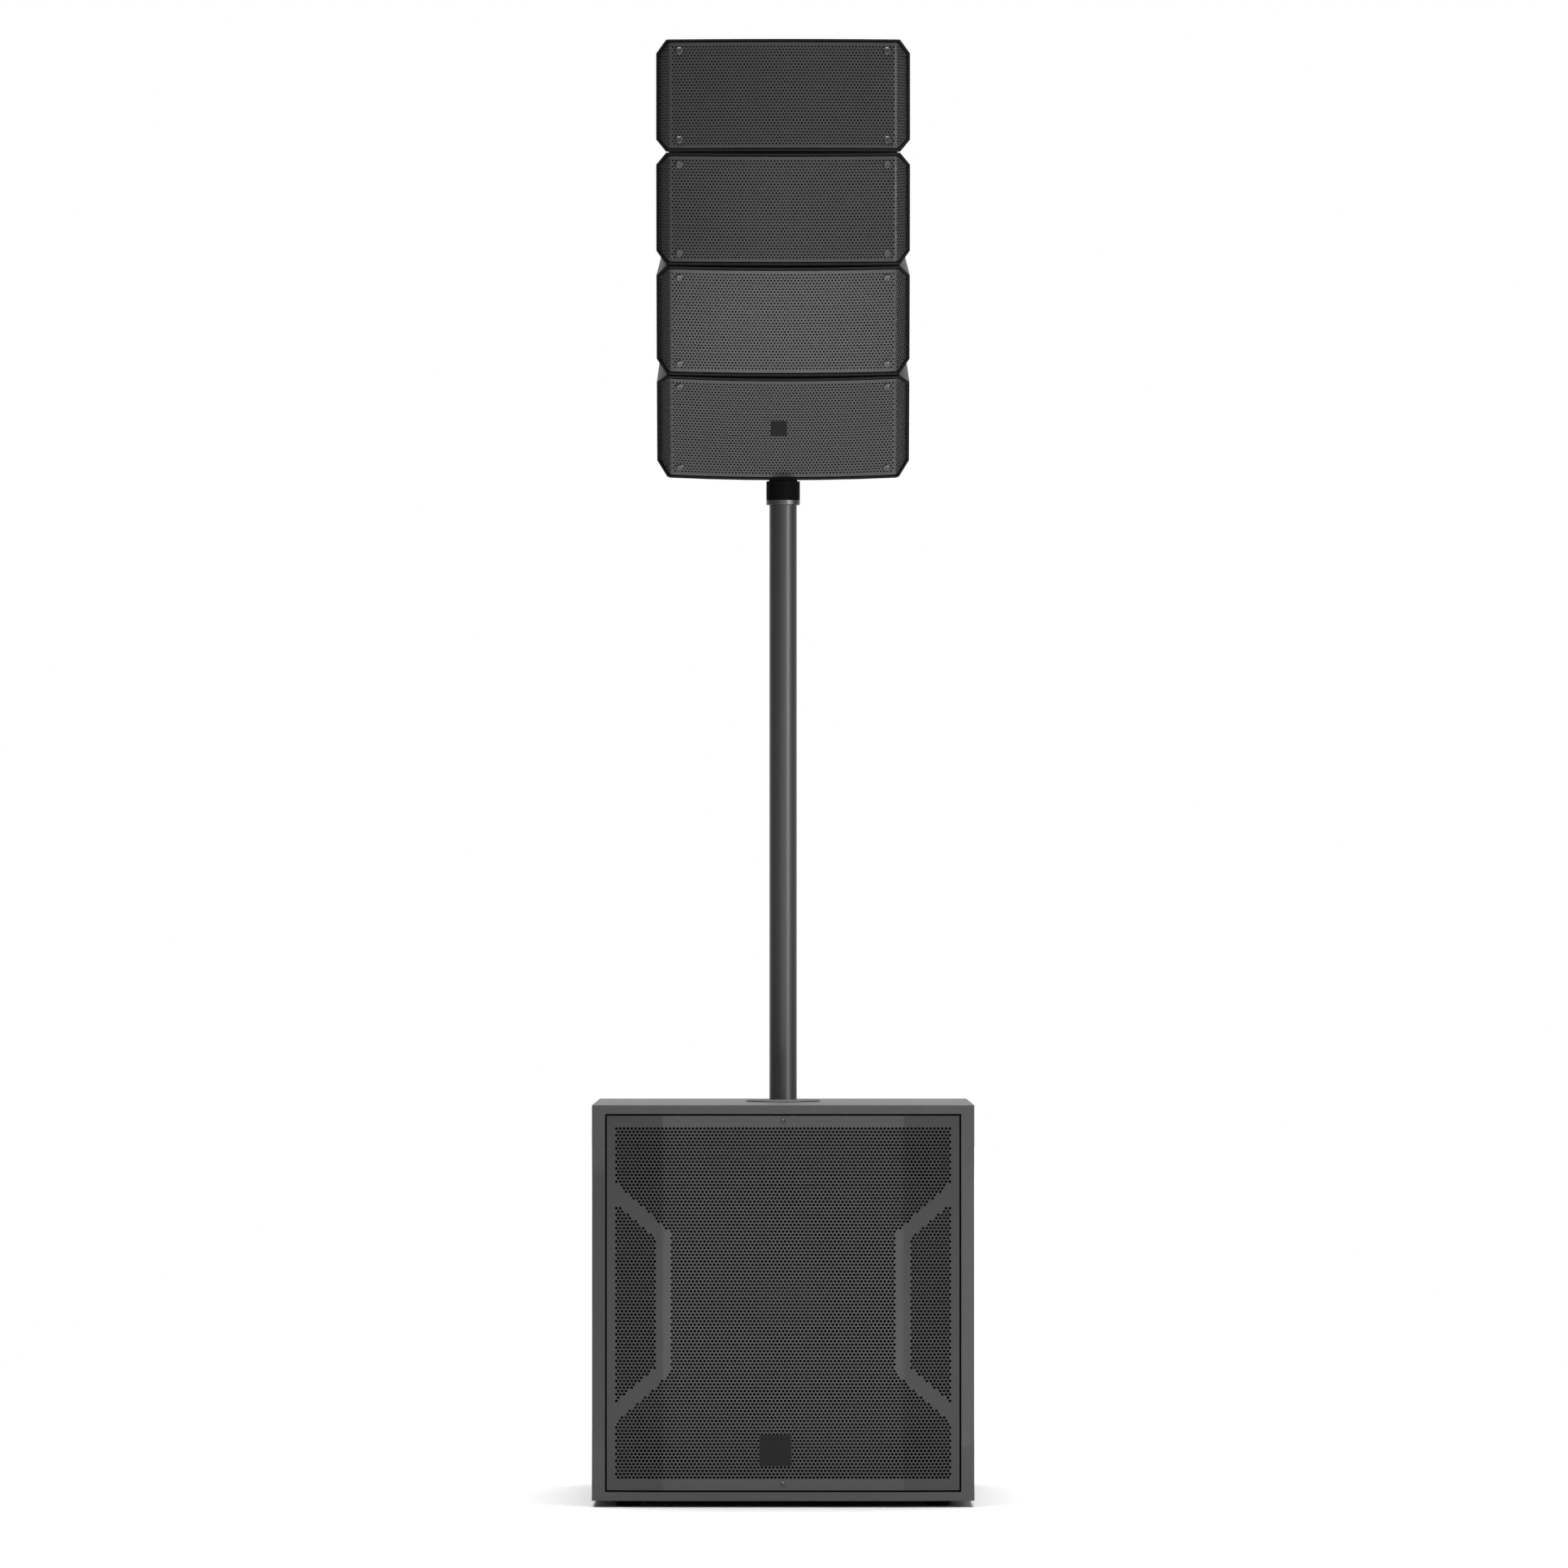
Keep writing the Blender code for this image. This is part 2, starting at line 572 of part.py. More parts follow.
def make_module(number, empty):
    name = f"module_{number}"
    height = MODULE_HALF_HEIGHT
    plan = module_plan(MODULE_HALF_WIDTH, MODULE_FOLD_HALF, 0.0, MODULE_DEPTH, SIDE_DRAFT)
    cabinet = prism(f"{name}_cabinet", plan, -height, height)
    slope = math.tan(math.radians(TAPER_DEG))
    for up in (-1, 1):
        trim(cabinet, (0, TAPER_START, up * height), (0, slope, up))
    trim_corners(cabinet, MODULE_HALF_WIDTH, height, TAPER_DEG)
    inner_half = MODULE_HALF_WIDTH - MODULE_RIM
    inner_height = height - MODULE_RIM
    tray = box("tray", (-inner_half, inner_half), (-40, POCKET_FLOOR), (-inner_height, inner_height))
    trim_corners(tray, inner_half, inner_height, 0.0)
    cut(cabinet, tray)
    for x in (-DRIVER_X, DRIVER_X):
        outline = circle(x, 0, DRIVER_R - 2, 20)
        cut(cabinet, prism("driver pocket", outline, POCKET_FLOOR - 1, DRIVER_POCKET, "y"))
    cut(cabinet, box("horn throat", (-12, 12), (POCKET_FLOOR - 1, 80), (-30, 30)))
    rear = (CHANNEL_FLOOR, MODULE_DEPTH + 20)
    cut(cabinet, box("channel", (-CHANNEL_HALF, CHANNEL_HALF), rear, (-height, height)))
    hole = circle(MODULE_SOCKET_X, 0, SOCKET_HOLE_R + HOLE_EASE, 20)
    cut(cabinet, prism("socket hole", hole, MODULE_DEPTH - 24, MODULE_DEPTH + 5, "y"))
    root = CHANNEL_FLOOR - 2
    tip = EAR_Y + 9
    for side in (-1, 1):
        low, high = sorted((side * EAR_IN, side * EAR_OUT))
        add(cabinet, prism("ear", [(root, -42), (tip, -36), (tip, 36), (root, 42)], low, high, "x"))
    for z in (BAR_PIN_Z, KNOB_Z):
        cut(cabinet, prism("ear hole", circle(EAR_Y, z, BORE_R), -EAR_OUT - 5, EAR_OUT + 5, "x"))
    for side in (-1, 1):
        low, high = sorted((side * TONGUE[0], side * TONGUE[1]))
        add(cabinet, prism("tongue", circle(*LOWER, KNUCKLE_R), low, high, "x"))
        for fork in FORK:
            low, high = sorted((side * fork[0], side * fork[1]))
            cut(cabinet, prism("fork pocket", circle(*LOWER, POCKET_R), low - 0.5, high + 0.5, "x"))
            if number > 1:
                add(cabinet, prism("fork", circle(*UPPER, KNUCKLE_R), low, high, "x"))
        if number > 1:
            low, high = sorted((side * TONGUE[0], side * TONGUE[1]))
            cut(cabinet, prism("tongue pocket", circle(*UPPER, POCKET_R), low - 0.5, high + 0.5, "x"))
    for axis_at in (LOWER, UPPER):
        if axis_at == LOWER or number > 1:
            cut(cabinet, prism("bore", circle(*axis_at, ROD_BORE_R), -ROD_HALF - 1, ROD_HALF + 1, "x"))
    give(cabinet, PAINT)
    hang(cabinet, empty, LOWER)

    sizes = (SOCKET_HOLE_R, SOCKET_RIM, SOCKET_MOUTH)
    socket = make_socket(f"{name}_socket", MODULE_SOCKET_X, 0, *sizes, MODULE_DEPTH)
    hang(socket, empty, LOWER)

    baffle_front = POCKET_FLOOR - MODULE_BAFFLE
    sheet = GRILLE_THICKNESS
    reach = MODULE_RIM + 1.6
    grille_half = MODULE_HALF_WIDTH - reach
    grille_height = height - reach
    half = MODULE_BAFFLE_HALF
    baffle_height = grille_height - sheet - FIT
    baffle = box(f"{name}_baffle", (-half, half), (baffle_front, POCKET_FLOOR - FIT),
                 (-baffle_height, baffle_height))
    for x in (-DRIVER_X, DRIVER_X):
        hole = circle(x, 0, DRIVER_R - 5, 20)
        cut(baffle, prism("driver hole", hole, baffle_front - 5, POCKET_FLOOR + 5, "y"))
    near = baffle_front - 1
    far = POCKET_FLOOR + 1
    mouth = [(-HORN_MOUTH, near), (HORN_MOUTH, near), (HORN_THROAT, far), (-HORN_THROAT, far)]
    cut(baffle, prism("horn", mouth, -HORN_HALF_HEIGHT, HORN_HALF_HEIGHT))
    give(baffle, BOARD)
    hang(baffle, empty, LOWER)

    back = POCKET_FLOOR - FIT
    plan = module_plan(grille_half, MODULE_FOLD_HALF - 1, 1.0, back, 0.0)
    grille = prism(f"{name}_grille", plan, -grille_height, grille_height)
    trim_corners(grille, grille_half, grille_height, 0.0)
    plan = module_plan(grille_half - sheet, MODULE_FOLD_HALF - 2, 1.0 + sheet, back + 10, 0.0)
    hollow = prism("hollow", plan, -grille_height + sheet, grille_height - sheet)
    trim_corners(hollow, grille_half - sheet, grille_height - sheet, 0.0)
    cut(grille, hollow)
    give(grille, STEEL_BLACK)
    hang(grille, empty, LOWER)

    for x, side in ((-DRIVER_X, "left"), (DRIVER_X, "right")):
        front = baffle_front - FIT
        cone = [(0, front + 10), (14, front + 7), (20, front + 14), (40, front)]
        roll = [(42, front - 3), (45, front - 4), (48, front - 3)]
        rim = [(DRIVER_R, front - 3), (DRIVER_R, front), (46, front), (44, front + 12)]
        magnet = [(24, front + 32), (34, front + 34), (34, front + 58), (0, front + 58)]
        driver = turned(f"{name}_driver_{side}", cone + roll + rim + magnet, "y", (x, 0), 12)
        give(driver, CONE)
        hang(driver, empty, LOWER)


def make_splay_hardware(number, empty, lower_origin):
    """The rod, bar and knob between a module and what carries it, drawn in the carrier's frame."""
    rod = prism(f"hinge_rod_{number}", circle(*UPPER, ROD_R), -ROD_HALF + 1, ROD_HALF - 1, "x")
    give(rod, ALLOY)
    hang(rod, empty, lower_origin)
    reach = (EAR_Y - HINGE_Y, HINGE_Z + KNOB_Z)
    slot = []
    for splay in (MAX_SPLAY, 0.0):
        spot = turn(reach, -splay)
        slot.append((HINGE_Y + spot[0], HINGE_Z + spot[1]))
    lower_run = capsule((EAR_Y, BAR_PIN_Z), slot[0], BAR_R)
    bar = prism(f"splay_bar_{number}", lower_run, -BAR_HALF, BAR_HALF, "x")
    add(bar, prism("upper run", capsule(slot[0], slot[1], BAR_R), -BAR_HALF, BAR_HALF, "x"))
    add(bar, prism("pin", circle(EAR_Y, BAR_PIN_Z, PIN_R), -EAR_OUT - 1, EAR_OUT + 1, "x"))
    cut(bar, prism("slot", capsule(slot[0], slot[1], SLOT_R), -BAR_HALF - 2, BAR_HALF + 2, "x"))
    give(bar, ALLOY)
    hang(bar, empty, lower_origin)


def make_splay_knob(number, empty):
    centre = (EAR_Y, KNOB_Z)
    pin = [(0, -EAR_OUT - 2), (PIN_R, -EAR_OUT - 2), (PIN_R, EAR_OUT + 0.6)]
    head = [(10, EAR_OUT + 0.6), (11, EAR_OUT + 3), (11, EAR_OUT + 13), (9, EAR_OUT + 15), (0, EAR_OUT + 15)]
    knob = turned(f"splay_knob_{number}", pin + head, "x", centre, 15)
    for spot in circle(*centre, DIP_RING_R, DIPS):
        cut(knob, prism("finger dip", circle(*spot, DIP_R, 8), EAR_OUT + 0.2, EAR_OUT + 20, "x"))
    give(knob, BLACK)
    hang(knob, empty, centre)


def make_yoke(empty):
    """The adaptor: a cup over the pole end, a crossbar with hinge forks and an arm to the splay bar."""
    bore = POLE_R + FIT
    roof = CUP_TOP - CUP_ROOF
    outside = [(bore, COLLAR_TOP), (COLLAR_R, COLLAR_TOP), (COLLAR_R, CUP_TOP), (0, CUP_TOP)]
    yoke = turned("adaptor_yoke", outside + [(0, roof), (bore, roof)], "z", (0, 0), 32)
    hinge = HINGES[4]
    cross = (hinge[0] + CROSSBAR_BACK, hinge[1] + 1.0)
    neck = [(0, CUP_TOP - 1), (20, CUP_TOP - 1), (cross[0] + 3, cross[1] - 3.5)]
    neck += [(cross[0], cross[1] + 3.5), (14, CUP_TOP + 6.5), (0, CUP_TOP + 1.5)]
    add(yoke, prism("neck", neck, -18, 18, "x"))
    add(yoke, prism("crossbar", circle(*cross, CROSSBAR_R), -CROSSBAR_HALF, CROSSBAR_HALF, "x"))
    seat = turn((EAR_Y - HINGE_Y, BAR_PIN_Z - HINGE_Z), YOKE_TILT)
    seat = (hinge[0] + seat[0], hinge[1] + seat[1])
    add(yoke, prism("arm", capsule(cross, seat, ARM_R), -EAR_OUT, EAR_OUT, "x"))
    add(yoke, prism("arm end", circle(*seat, ARM_END_R, 16), -EAR_OUT, EAR_OUT, "x"))
    for side in (-1, 1):
        for fork in FORK:
            low, high = sorted((side * fork[0], side * fork[1]))
            add(yoke, prism("fork", circle(*hinge, KNUCKLE_R), low, high, "x"))
            web = capsule((hinge[0], hinge[1] - 1.5), (cross[0], cross[1] - 0.5), 2.0)
            add(yoke, prism("fork web", web, low, high, "x"))
    cut(yoke, prism("bore", circle(*hinge, ROD_BORE_R), -ROD_HALF, ROD_HALF, "x"))
    slit = EAR_IN - 0.5
    away = turn((0, 60), YOKE_TILT)
    path = capsule(seat, (seat[0] + away[0], seat[1] + away[1]), BAR_R + 6)
    cut(yoke, prism("slit", path, -slit, slit, "x"))
    cut(yoke, prism("seat hole", circle(*seat, BORE_R), -20, 20, "x"))
    give(yoke, BLACK)
    yoke.parent = empty


make_sub_cabinet()
make_handles()
make_sub_baffle()
make_sub_grille()
make_woofer()
make_amplifier()
make_controls()
make_feet()
make_pole()
pan = axis_empty("pan_axis", (0, 0), 0)
make_yoke(pan)
carrier = (axis_empty("yoke_frame", HINGES[4], YOKE_TILT), UPPER)
for number in (4, 3, 2, 1):
    splay_axis = axis_empty(f"splay_axis_{number}", HINGES[number], TILTS[number])
    make_splay_hardware(number, *carrier)
    make_module(number, splay_axis)
    knob_at = turn((EAR_Y - LOWER[0], KNOB_Z - LOWER[1]), TILTS[number])
    knob_place = (HINGES[number][0] + knob_at[0], HINGES[number][1] + knob_at[1])
    make_splay_knob(number, axis_empty(f"knob_axis_{number}", knob_place, TILTS[number]))
    carrier = (splay_axis, LOWER)
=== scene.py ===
import json
import math

import bmesh
import bpy
from mathutils import Matrix, Vector


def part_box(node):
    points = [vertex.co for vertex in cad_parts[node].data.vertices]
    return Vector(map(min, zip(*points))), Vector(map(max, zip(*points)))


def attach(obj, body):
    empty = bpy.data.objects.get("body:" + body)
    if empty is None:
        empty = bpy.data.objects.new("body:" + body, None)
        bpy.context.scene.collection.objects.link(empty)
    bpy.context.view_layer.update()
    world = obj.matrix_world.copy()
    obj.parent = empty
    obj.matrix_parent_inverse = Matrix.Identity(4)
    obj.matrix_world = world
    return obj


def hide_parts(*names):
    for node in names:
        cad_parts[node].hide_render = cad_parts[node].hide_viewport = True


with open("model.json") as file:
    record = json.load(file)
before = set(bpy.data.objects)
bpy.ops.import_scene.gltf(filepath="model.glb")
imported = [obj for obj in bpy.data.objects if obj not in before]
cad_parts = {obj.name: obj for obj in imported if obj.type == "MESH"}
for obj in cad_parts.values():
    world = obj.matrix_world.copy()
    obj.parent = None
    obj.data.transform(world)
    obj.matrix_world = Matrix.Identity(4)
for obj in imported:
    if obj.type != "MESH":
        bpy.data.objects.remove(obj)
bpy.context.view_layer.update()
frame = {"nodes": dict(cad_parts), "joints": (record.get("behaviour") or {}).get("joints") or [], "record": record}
nodes = frame["nodes"]
body_of = {node: body for body, held in frame["record"]["behaviour"]["bodies"].items() for node in held}
MM = 0.001


# Subwoofer cabinet. Plywood box with a faceted front rim, sprayed with a charcoal stage paint that dries
# to a fine pebbled skin. Its edges are eased by hand before the paint goes on, and each side of the rim is
# scalloped, with a long slope at both ends of the scallop.
class Socket:
    """An output socket with arithmetic: an expression adds its Math nodes."""

    def __init__(self, tree, output):
        self.tree = tree
        self.output = output

    def make(self, kind, settings=None, **inputs):
        added = self.tree.nodes.new(kind)
        for name, value in (settings or {}).items():
            setattr(added, name, value)
        for name, value in inputs.items():
            spot = int(name[1:]) if name[0] == "i" and name[1:].isdigit() else name.replace("_", " ")
            if isinstance(value, Socket):
                self.tree.links.new(value.output, added.inputs[spot])
            else:
                added.inputs[spot].default_value = value
        return added

    def math(self, operation, other, swap=False):
        pair = (other, self) if swap else (self, other)
        added = self.make("ShaderNodeMath", {"operation": operation}, i0=pair[0], i1=pair[1])
        return Socket(self.tree, added.outputs[0])

    def __add__(self, other):
        return self.math("ADD", other)

    def __sub__(self, other):
        return self.math("SUBTRACT", other)

    def __rsub__(self, other):
        return self.math("SUBTRACT", other, swap=True)

    def __mul__(self, other):
        return self.math("MULTIPLY", other)

    __radd__ = __add__
    __rmul__ = __mul__


CLOUD_SCALE = 14.0
GRAIN_SHARE = 0.55
CLOUD_SHARE = 0.45
BUMP_STRENGTH = 0.5


def finish(name, dark, light, grain_mm, depth_mm, rough, rough_swing, metallic=0.0, shine=0.5):
    """A sprayed or moulded finish: fine grain in the bump, soft clouds in the colour and the sheen."""
    look = bpy.data.materials.new(name)
    look.use_nodes = True
    tree = look.node_tree
    shader = tree.nodes["Principled BSDF"]
    base = Socket(tree, tree.nodes.new("ShaderNodeTexCoord").outputs["Object"])
    grain = base.make("ShaderNodeTexNoise", None, Vector=base, Scale=1.0 / (grain_mm * MM),
                      Detail=3.0, Roughness=0.6)
    grain = Socket(tree, grain.outputs["Fac"])
    cloud = base.make("ShaderNodeTexNoise", None, Vector=base, Scale=CLOUD_SCALE, Detail=4.0, Roughness=0.55)
    cloud = Socket(tree, cloud.outputs["Fac"])
    tone = grain * GRAIN_SHARE + cloud * CLOUD_SHARE
    colour = base.make("ShaderNodeMix", {"data_type": "RGBA"}, i0=tone, i6=(*dark, 1.0), i7=(*light, 1.0))
    tree.links.new(colour.outputs[2], shader.inputs["Base Color"])
    sheen = cloud * rough_swing + (rough - rough_swing / 2)
    tree.links.new(sheen.output, shader.inputs["Roughness"])
    shader.inputs["Metallic"].default_value = metallic
    shader.inputs["Specular IOR Level"].default_value = shine
    skin = base.make("ShaderNodeBump", None, Height=grain, Strength=BUMP_STRENGTH, Distance=depth_mm * MM)
    tree.links.new(skin.outputs["Normal"], shader.inputs["Normal"])
    return look


def dead_black(name):
    """Flat near-black paint for what lies behind the holes: real black paint on the baffle, painted shade on the
    inside of the subwoofer chamber.
    """
    return finish(name, (0.003, 0.003, 0.003), (0.006, 0.006, 0.006),
                  grain_mm=2.0, depth_mm=0.2, rough=0.85, rough_swing=0.1, shine=0.1)


def dress(piece, look):
    piece.data.materials.clear()
    piece.data.materials.append(look)


def pick(piece):
    """Leaves one piece selected and active."""
    bpy.ops.object.select_all(action="DESELECT")
    piece.select_set(True)
    bpy.context.view_layer.objects.active = piece


SAME_SPOT = 1e-6
SAME_PLANE = math.radians(0.6)
ROUND_ABOVE = math.radians(24)
ROUND_STEPS = 2
SMOOTH_BELOW = math.radians(30)


def merged_copy(node):
    """A copy of a machined solid, with its flat faces whole."""
    piece = bpy.data.objects.new(f"{node}_eased", nodes[node].data.copy())
    bpy.context.scene.collection.objects.link(piece)
    pick(piece)
    bpy.ops.object.mode_set(mode="EDIT")
    bpy.ops.mesh.select_all(action="SELECT")
    bpy.ops.mesh.remove_doubles(threshold=SAME_SPOT)
    bpy.ops.mesh.dissolve_limited(angle_limit=SAME_PLANE)
    bpy.ops.object.mode_set(mode="OBJECT")
    return piece


def ease(piece, node, ease_mm, look):
    """Rounds a copy's sharp edges over, keeps its flats flat to the light and lets it stand for the node."""
    pick(piece)
    rounding = piece.modifiers.new("rounding", "BEVEL")
    rounding.width = ease_mm * MM
    rounding.segments = ROUND_STEPS
    rounding.limit_method = "ANGLE"
    rounding.angle_limit = ROUND_ABOVE
    rounding.use_clamp_overlap = True
    bpy.ops.object.modifier_apply(modifier=rounding.name)
    bpy.ops.object.shade_smooth_by_angle(angle=SMOOTH_BELOW)
    flats = piece.modifiers.new("flats", "WEIGHTED_NORMAL")
    flats.keep_sharp = True
    bpy.ops.object.modifier_apply(modifier=flats.name)
    dress(piece, look)
    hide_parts(node)
    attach(piece, body_of[node])


stage_paint = finish("stage_paint", (0.044, 0.044, 0.0466), (0.071, 0.071, 0.0747),
                     grain_mm=1.6, depth_mm=0.22, rough=0.6, rough_swing=0.12, shine=0.35)
# Near-black colour for the inside of the subwoofer chamber: painted shade, not a bare board.
inside_painted_shade = dead_black("inside_painted_shade")
SUB_MID_Z = 255.0
SCALLOP_FLAT_HALF = 153.0
RIM_INNER_X = 222.0
FACING_FRONT = -0.8
LEANING_OUT = 0.3
CRISP = (math.radians(2), math.radians(40))
sub_box = merged_copy("sub_cabinet")
work = bmesh.new()
work.from_mesh(sub_box.data)
for face in work.faces:
    on_rim = abs(face.calc_center_median().x) > RIM_INNER_X * MM and face.normal.y < FACING_FRONT
    if on_rim and abs(face.normal.x) > LEANING_OUT:
        for corner in face.verts:
            end = math.copysign(SCALLOP_FLAT_HALF, corner.co.z / MM - SUB_MID_Z)
            corner.co.z = (SUB_MID_Z + end) * MM
work.normal_update()
for edge in work.edges:
    edge.smooth = not CRISP[0] < edge.calc_face_angle(0.0) < CRISP[1]
work.to_mesh(sub_box.data)
work.free()
ease(sub_box, "sub_cabinet", 1.6, stage_paint)
# The faces inside the chamber take the near-black second colour: painted shade for the hollow seen through the
# ports.
sub_box.data.materials.append(inside_painted_shade)
INSIDE_HALF_W = 225.0
INSIDE_Y = (-290.0, 236.0)
INSIDE_Z = (14.0, 496.0)
for face in sub_box.data.polygons:
    across, along, up = face.center / MM
    if abs(across) < INSIDE_HALF_W and INSIDE_Y[0] < along < INSIDE_Y[1] and INSIDE_Z[0] < up < INSIDE_Z[1]:
        face.material_index = 1


# Side handles. Moulded black cups pressed into pockets in the side walls, each with a rounded grip bar
# moulded across its mouth.
def eased(node, ease_mm, look):
    """A machined solid in its finish, with its edges rounded over."""
    piece = merged_copy(node)
    ease(piece, node, ease_mm, look)
    return piece


SIDES = ("left", "right")
moulded_black = finish("moulded_black", (0.014, 0.014, 0.015), (0.026, 0.026, 0.028),
                       grain_mm=0.8, depth_mm=0.08, rough=0.5, rough_swing=0.14)
for side in SIDES:
    eased(f"handle_{side}", 0.4, moulded_black)

# Baffle and woofer behind the grille. A black painted board with a black frame bolted in its round hole,
# and a paper pulp cone that hangs in the frame by a rubber surround.
board_black = dead_black("board_black")
pulp = finish("cone_pulp", (0.003, 0.003, 0.003), (0.007, 0.007, 0.007),
              grain_mm=1.3, depth_mm=0.2, rough=0.85, rough_swing=0.1, shine=0.1)
rubber = finish("soft_rubber", (0.004, 0.004, 0.004), (0.008, 0.008, 0.008),
                grain_mm=0.6, depth_mm=0.05, rough=0.8, rough_swing=0.12, shine=0.15)
dress(nodes["sub_baffle"], board_black)
dress(nodes["woofer_frame"], board_black)
dress(nodes["woofer_cone"], pulp)
dress(nodes["woofer_surround"], rubber)

# Subwoofer grille. Punched and folded steel, powder coated, with solid bands left between its three fields
# of holes. The edge is folded back all round and stands on the baffle.
powder_coat = finish("powder_coat", (0.0195, 0.0195, 0.0205), (0.0285, 0.0285, 0.03),
                     grain_mm=1.2, depth_mm=0.006, rough=0.31, rough_swing=0.04)
WELD = 2e-6


def punched_sheet(name, look, half_u, half_v, reach_v, pitch, hole_r, gauge, is_open, place, flange):
    """A sheet of staggered round holes in a plain border, drawn flat in (u, v) and set in space by place."""
    rise = pitch * math.sqrt(3) / 2
    rows = int(2 * half_v / rise)
    columns = int(2 * half_u / pitch)
    left = -columns * pitch / 2
    low = -rows * rise / 2
    bm = bmesh.new()

    def point(u, v, depth=0.0):
        limit = reach_v(u)
        return bm.verts.new(place(u, max(-limit, min(limit, v)), depth))

    def plain(u0, v0, u1, v1):
        bm.faces.new([point(u0, v0), point(u1, v0), point(u1, v1), point(u0, v1)])

    def cell(u, v):
        half = pitch / 2
        rim = [(half, 0), (half, rise / 2), (0, rise / 2), (-half, rise / 2),
               (-half, 0), (-half, -rise / 2), (0, -rise / 2), (half, -rise / 2)]
        outer = [point(u + a, v + b) for a, b in rim]
        if not is_open(u, v):
            bm.faces.new(outer)
            return
        turns = [math.atan2(b, a) for a, b in rim]
        ring = [point(u + hole_r * math.cos(t), v + hole_r * math.sin(t)) for t in turns]
        wall = [point(u + hole_r * math.cos(t), v + hole_r * math.sin(t), gauge) for t in turns]
        for i in range(len(rim)):
            j = (i + 1) % len(rim)
            bm.faces.new([outer[i], outer[j], ring[j], ring[i]])
            bm.faces.new([ring[i], ring[j], wall[j], wall[i]])

    for row in range(rows):
        v = low + (row + 0.5) * rise
        shift = pitch / 2 if row % 2 else 0.0
        for column in range(columns - row % 2):
            cell(left + (column + 0.5) * pitch + shift, v)
        if row % 2:
            for end in (left, -left - pitch / 2):
                plain(end, v - rise / 2, end + pitch / 2, v + rise / 2)
    steps = [left + i * pitch for i in range(columns + 1)]
    top = reach_v(0.0)
    edge = [-half_u] + steps + [half_u]
    for u0, u1 in zip(edge, edge[1:]):
        plain(u0, -low, u1, top)
        plain(u0, -top, u1, low)
    for u0, u1 in ((-half_u, left), (-left, half_u)):
        for row in range(rows):
            plain(u0, low + row * rise, u1, low + (row + 1) * rise)
    for up in (-1, 1):
        for u0, u1 in zip(edge, edge[1:]):
            corners = [(u0, 0), (u1, 0), (u1, 1), (u0, 1)]
            run = [point(u, up * top, flange(u) if deep else 0.0) for u, deep in corners]
            bm.faces.new(run if up < 0 else run[::-1])
    for across in (-1, 1):
        u = across * half_u
        limit = reach_v(u)
        run = [point(u, -limit), point(u, limit), point(u, limit, flange(u)), point(u, -limit, flange(u))]
        bm.faces.new(run if across > 0 else run[::-1])
    bmesh.ops.remove_doubles(bm, verts=bm.verts, dist=WELD)
    bmesh.ops.dissolve_degenerate(bm, dist=WELD, edges=bm.edges)
    mesh = bpy.data.meshes.new(name)
    bm.to_mesh(mesh)
    bm.free()
    piece = bpy.data.objects.new(name, mesh)
    bpy.context.scene.collection.objects.link(piece)
    dress(piece, look)
    return piece


grille_low, grille_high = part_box("sub_grille")
grille_mid_z = (grille_low[2] + grille_high[2]) / 2
grille_half_w = (grille_high[0] - grille_low[0]) / 2 / MM
grille_half_h = (grille_high[2] - grille_low[2]) / 2 / MM
FOLD = 150.0
FACET_SLOPE = 6.0 / 89.0
SUB_PITCH = 4.79
SUB_HOLE_R = 1.82
SUB_GAUGE = 1.5
FIELD_HALF_W = 210.0
FIELD_HALF_H = 221.0
BAND_IN = 142.4
BAND_OUT = 157.2
BAND_TOP_IN = 87.3
BAND_TOP_OUT = 149.0
POCKET_TOP_IN = 81.0
POCKET_TOP_OUT = 126.0
STRAIGHT_MARGIN = 1.5
SLOPE_MARGIN = 2.0


def sub_hole_allowed(u, v):
    """Holes fill the middle field and the two side fields, and leave the bands between them plain."""
    across = abs(u)
    up = abs(v)
    if across > FIELD_HALF_W - STRAIGHT_MARGIN or up > FIELD_HALF_H - STRAIGHT_MARGIN:
        return False
    if across < BAND_IN - STRAIGHT_MARGIN:
        return True
    slope = (BAND_TOP_OUT - BAND_TOP_IN) / (FIELD_HALF_W - BAND_IN)
    if up > BAND_TOP_IN + (across - BAND_IN) * slope + SLOPE_MARGIN:
        return True
    slope = (POCKET_TOP_OUT - POCKET_TOP_IN) / (FIELD_HALF_W - BAND_OUT)
    pocket_top = POCKET_TOP_IN + (across - BAND_OUT) * slope - SLOPE_MARGIN
    return across > BAND_OUT + STRAIGHT_MARGIN and up < pocket_top


def on_sub_front(u, v, depth):
    back = max(0.0, abs(u) - FOLD) * FACET_SLOPE
    return Vector((u * MM, grille_low[1] + (back + depth) * MM, grille_mid_z + v * MM))


def sub_flange(u):
    return (grille_high[1] - grille_low[1]) / MM - max(0.0, abs(u) - FOLD) * FACET_SLOPE


sub_face = punched_sheet("sub_grille_face", powder_coat, grille_half_w, FIELD_HALF_H, lambda u: grille_half_h,
                         SUB_PITCH, SUB_HOLE_R, SUB_GAUGE, sub_hole_allowed, on_sub_front, sub_flange)
pick(sub_face)
bpy.ops.object.mode_set(mode="EDIT")
bpy.ops.mesh.select_mode(type="FACE")
bpy.ops.mesh.select_all(action="DESELECT")
bpy.ops.object.mode_set(mode="OBJECT")
for face in sub_face.data.polygons:
    face.select = face.center.x > 0
bpy.ops.object.mode_set(mode="EDIT")
bpy.ops.mesh.separate(type="SELECTED")
bpy.ops.object.mode_set(mode="OBJECT")
for half in list(bpy.context.selected_objects):
    half.name = "sub_grille_left" if half == sub_face else "sub_grille_right"
    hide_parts("sub_grille")
    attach(half, "base")

